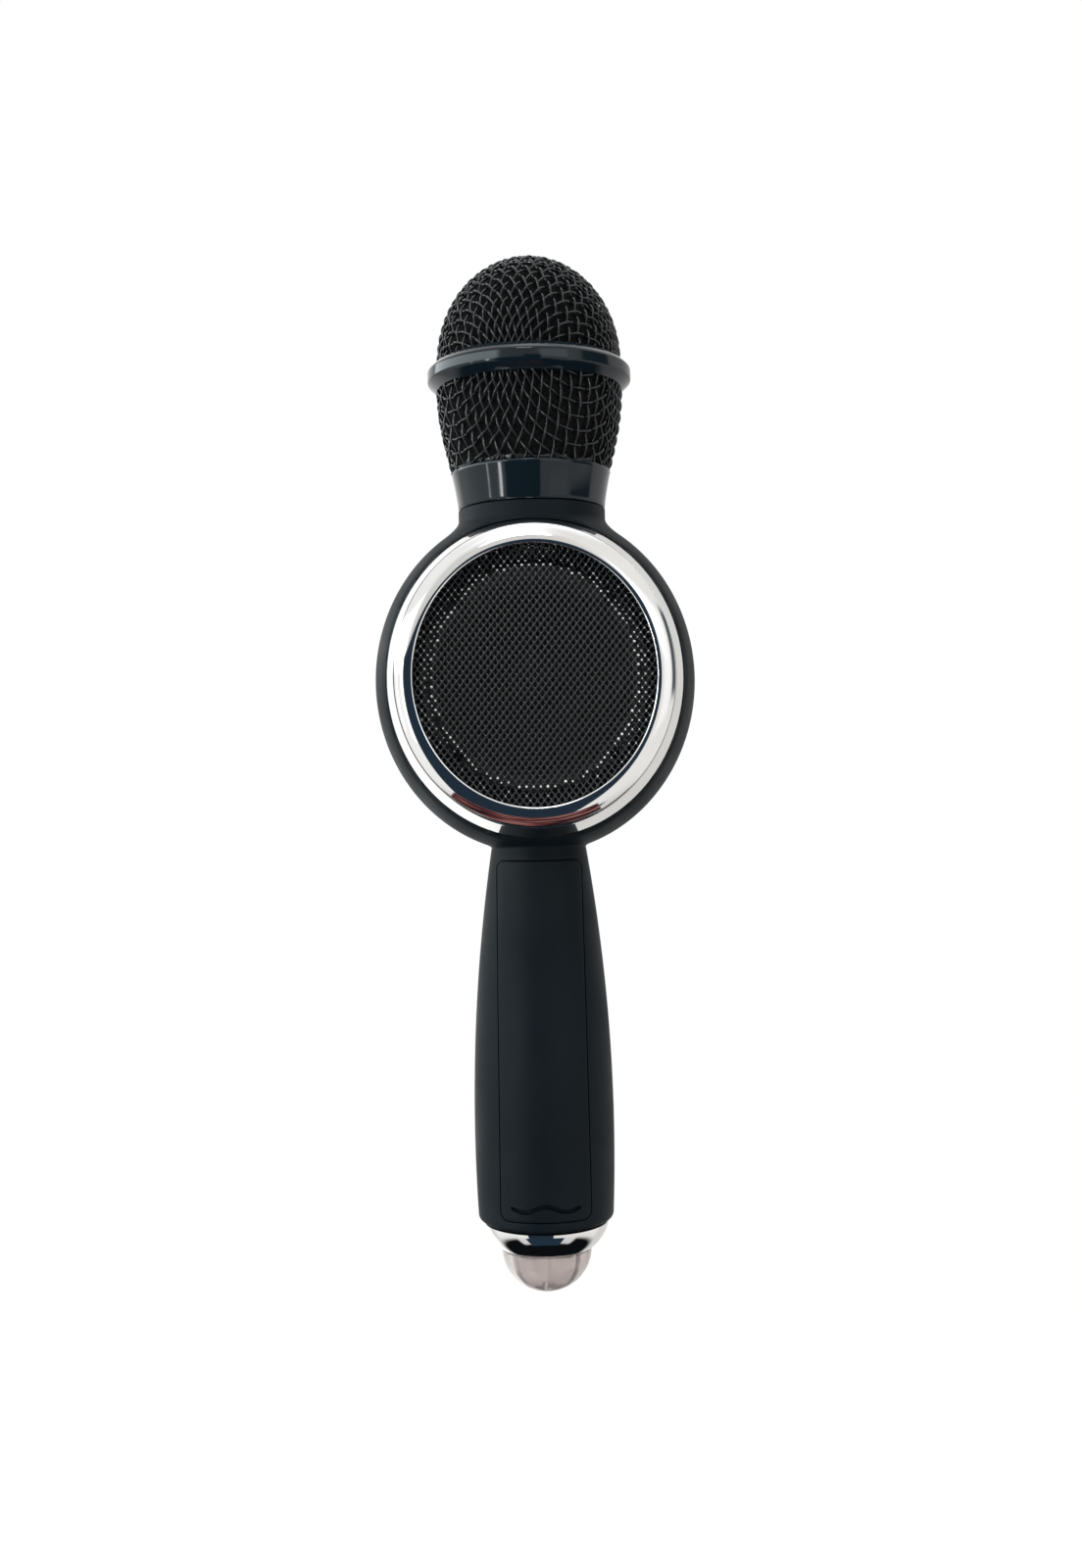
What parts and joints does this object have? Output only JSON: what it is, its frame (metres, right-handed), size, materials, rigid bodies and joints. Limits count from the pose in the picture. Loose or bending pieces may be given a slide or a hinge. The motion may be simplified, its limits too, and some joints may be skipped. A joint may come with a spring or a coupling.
{
  "type": "karaoke microphone",
  "caption": "Wireless hand-held karaoke microphone: wire-mesh head, oval loudspeaker disc with chrome bezels, tapered battery handle and a light dome at the tail.",
  "frame": {"origin": "on the handle's axis, in the middle of the grip", "axes": "+Z along the handle towards the mesh head, -Y out of the loudspeaker and battery-cover side, +Y out of the control side, +X to the right seen from -Y"},
  "size_m": [0.08, 0.052, 0.2587],
  "materials": {
    "soft_touch_black": "matte soft-touch coating",
    "chrome": "bright plated plastic",
    "black_grille": "black painted expanded metal",
    "black_wire": "black painted woven wire",
    "gloss_black": "polished",
    "foam": "open-cell foam",
    "steel": "plain",
    "dark_plastic": "moulded",
    "cone_paper": "pressed paper",
    "circuit_board": "solder mask",
    "cell_sleeve": "shrink sleeve",
    "clear_plastic": "clear, faintly pink",
    "lamp": "diffused"
  },
  "bodies": {
    "casing": {"rear_shell": "soft_touch_black", "front_shell": "soft_touch_black", "rear_bezel_ring": "chrome", "front_bezel_ring": "chrome", "rear_grille": "black_grille", "front_grille": "black_grille", "speaker_frame": "dark_plastic", "speaker_cone": "cone_paper", "speaker_dust_cap": "cone_paper", "speaker_magnet": "steel", "passive_radiator": "dark_plastic", "speaker_screw_1": "steel", "speaker_screw_2": "steel", "speaker_screw_3": "steel", "speaker_screw_4": "steel", "head_collar": "gloss_black", "capsule_holder": "dark_plastic", "mic_capsule": "steel", "control_panel": "gloss_black", "main_board": "circuit_board", "power_switch": "dark_plastic", "previous_switch": "dark_plastic", "play_switch": "dark_plastic", "next_switch": "dark_plastic", "music_pot": "steel", "voice_pot": "steel", "echo_pot": "steel", "usb_port": "steel", "audio_jack": "dark_plastic", "battery_cell": "cell_sleeve", "battery_tray": "dark_plastic", "battery_spring": "steel", "battery_contact": "steel", "case_screw_1": "steel", "case_screw_2": "steel", "tail_ring": "chrome", "light_dome": "clear_plastic", "lamp_board": "circuit_board", "lamp_1": "lamp", "lamp_2": "lamp", "lamp_3": "lamp"},
    "cover": {"battery_cover": "soft_touch_black"},
    "head": {"head_basket": "black_wire", "head_dome": "black_wire", "head_band": "gloss_black", "head_base_ring": "steel", "head_foam": "foam"},
    "power_key": {"power_button": "chrome"},
    "previous_key": {"previous_button": "chrome"},
    "play_key": {"play_button": "chrome"},
    "next_key": {"next_button": "chrome"},
    "music_knob": {"music_slider": "chrome"},
    "voice_knob": {"voice_slider": "chrome"},
    "echo_knob": {"echo_slider": "chrome"}
  },
  "joints": [
    {"name": "cover_hinge", "type": "hinge", "parent": "casing", "child": "cover", "pos_m": [0, -0.0123, 0.0412], "axis": [-1, 0, 0], "range_deg": [0, 40]},
    {"name": "head_turn", "type": "hinge", "parent": "casing", "child": "head", "pos_m": [0, 0, 0.1388], "axis": [0, 0, 1], "range_deg": [0, 540]},
    {"name": "power_press", "type": "slide", "parent": "casing", "child": "power_key", "axis": [0, -1, 0], "range_m": [0, 0.0008], "stiffness_N_per_m": 300, "springref_m": -0.001},
    {"name": "previous_press", "type": "slide", "parent": "casing", "child": "previous_key", "axis": [0, -1, 0], "range_m": [0, 0.0008], "stiffness_N_per_m": 300, "springref_m": -0.001},
    {"name": "play_press", "type": "slide", "parent": "casing", "child": "play_key", "axis": [0, -1, 0], "range_m": [0, 0.0008], "stiffness_N_per_m": 300, "springref_m": -0.001},
    {"name": "next_press", "type": "slide", "parent": "casing", "child": "next_key", "axis": [0, -1, 0], "range_m": [0, 0.0008], "stiffness_N_per_m": 300, "springref_m": -0.001},
    {"name": "music_slide", "type": "slide", "parent": "casing", "child": "music_knob", "axis": [0, 0, 1], "range_m": [-0.006, 0.006]},
    {"name": "voice_slide", "type": "slide", "parent": "casing", "child": "voice_knob", "axis": [0, 0, 1], "range_m": [-0.006, 0.006]},
    {"name": "echo_slide", "type": "slide", "parent": "casing", "child": "echo_knob", "axis": [0, 0, 1], "range_m": [-0.006, 0.006]}
  ]
}
